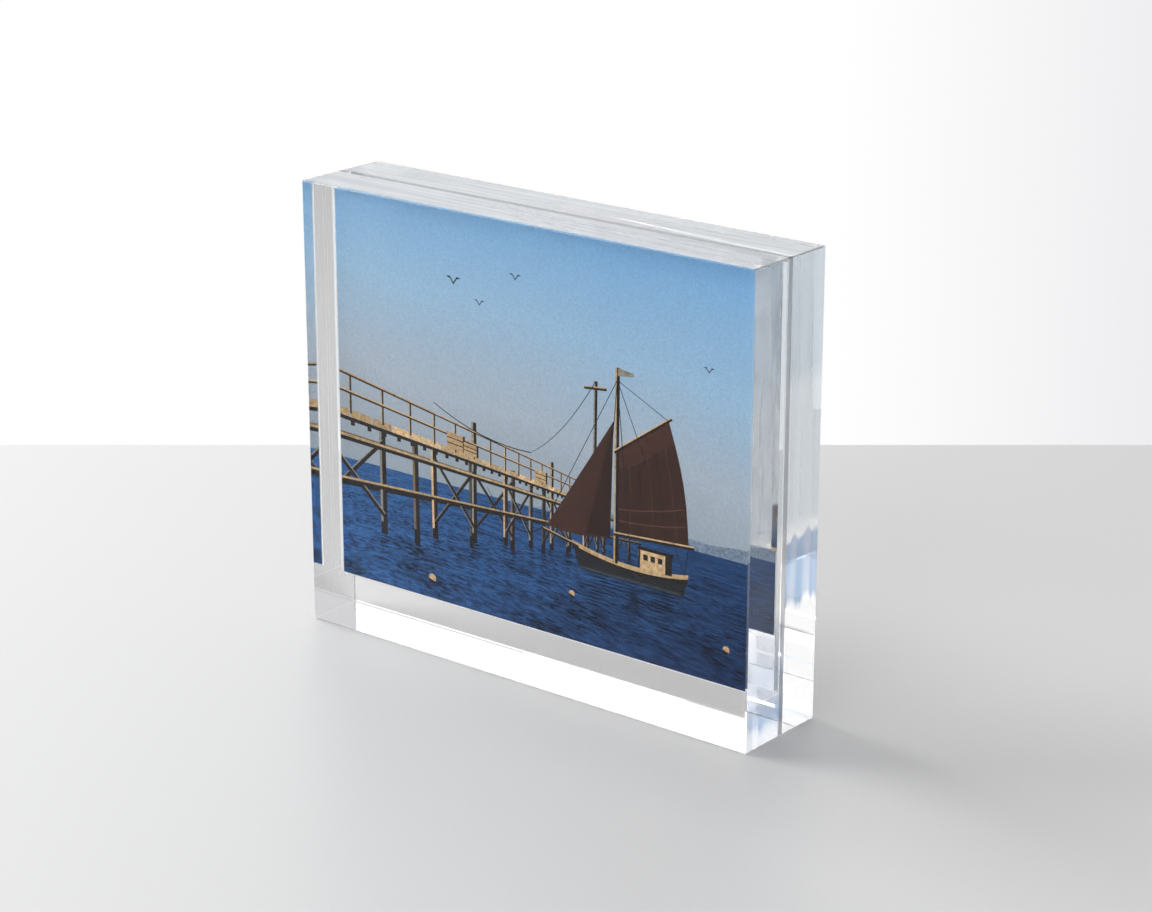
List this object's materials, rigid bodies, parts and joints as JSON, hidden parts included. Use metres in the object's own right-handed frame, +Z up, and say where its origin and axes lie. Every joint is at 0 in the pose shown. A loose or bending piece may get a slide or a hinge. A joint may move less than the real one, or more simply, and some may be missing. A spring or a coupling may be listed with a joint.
{
  "type": "acrylic block frame",
  "caption": "Free-standing clear acrylic block frame: thick polished slabs with a flat pocket between them, open at the top, that holds a photo print upright.",
  "frame": {"origin": "centre of the block's underside, on the surface that it stands on", "axes": "+X to the right of someone who looks at the picture, +Y to the back, +Z up"},
  "size_m": [0.134, 0.027, 0.113],
  "materials": {
    "clear_acrylic": "polished",
    "photo_paper": "satin"
  },
  "bodies": {
    "block": {"front_slab": "clear_acrylic", "back_slab": "clear_acrylic", "foot_strip": "clear_acrylic", "left_strip": "clear_acrylic", "right_strip": "clear_acrylic"},
    "print": {"photo_print": "photo_paper"}
  },
  "joints": [
    {"name": "photo_slide", "type": "slide", "parent": "block", "child": "print", "axis": [0, 0, 1], "range_m": [0, 0.1]}
  ]
}
